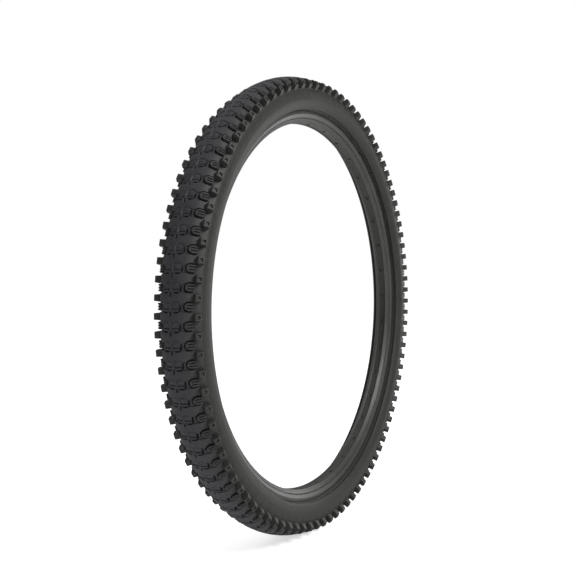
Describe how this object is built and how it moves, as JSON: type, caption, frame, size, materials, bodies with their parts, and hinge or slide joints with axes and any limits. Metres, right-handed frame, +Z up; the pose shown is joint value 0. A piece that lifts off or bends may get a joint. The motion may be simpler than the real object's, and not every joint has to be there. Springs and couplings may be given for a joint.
{
  "type": "bicycle_tire",
  "caption": "Knobbly 26 inch mountain bike tyre, black, mounted on a bare black rim with spoke holes and an inner tube",
  "frame": {"origin": "the wheel's centre, midway between the rim's flanks", "axes": "+Y is the wheel's axis and points to the left of a wheel that rolls towards +X, +Z is up"},
  "size_m": [0.667, 0.065, 0.667],
  "materials": {
    "tread_rubber": "matte",
    "sidewall_rubber": "satin",
    "casing_cloth": "matte",
    "breaker_cloth": "matte",
    "chafer_cloth": "matte",
    "bead_steel": "satin",
    "spring_steel": "satin",
    "butyl_rubber": "matte",
    "rim_black": "gloss",
    "valve_brass": "satin",
    "cap_plastic": "matte"
  },
  "bodies": {
    "wheel": {"tread": "tread_rubber", "sidewall_left": "sidewall_rubber", "sidewall_right": "sidewall_rubber", "breaker_strip": "breaker_cloth", "casing_ply_outer": "casing_cloth", "casing_ply_inner": "casing_cloth", "bead_wire_left": "bead_steel", "bead_wire_right": "bead_steel", "chafer_left": "chafer_cloth", "chafer_right": "chafer_cloth", "inner_tube": "butyl_rubber", "rim_strip": "butyl_rubber", "rim": "rim_black", "valve_foot": "butyl_rubber", "valve_stem": "valve_brass", "valve_core_body": "valve_brass", "valve_core_spring": "spring_steel"},
    "core_pin": {"valve_core_pin": "valve_brass"},
    "cap": {"valve_cap": "cap_plastic", "valve_cap_seal": "butyl_rubber"}
  },
  "joints": [
    {"name": "core_pin_press", "type": "slide", "parent": "wheel", "child": "core_pin", "axis": [-0.999, 0, 0.0441], "range_m": [0, 0.0015], "stiffness_N_per_m": 400, "springref_m": -0.002, "deforming": ["valve_core_spring"]},
    {"name": "cap_removal", "type": "slide", "parent": "wheel", "child": "cap", "axis": [0.999, 0, -0.0441], "range_m": [0, 0.012]}
  ]
}
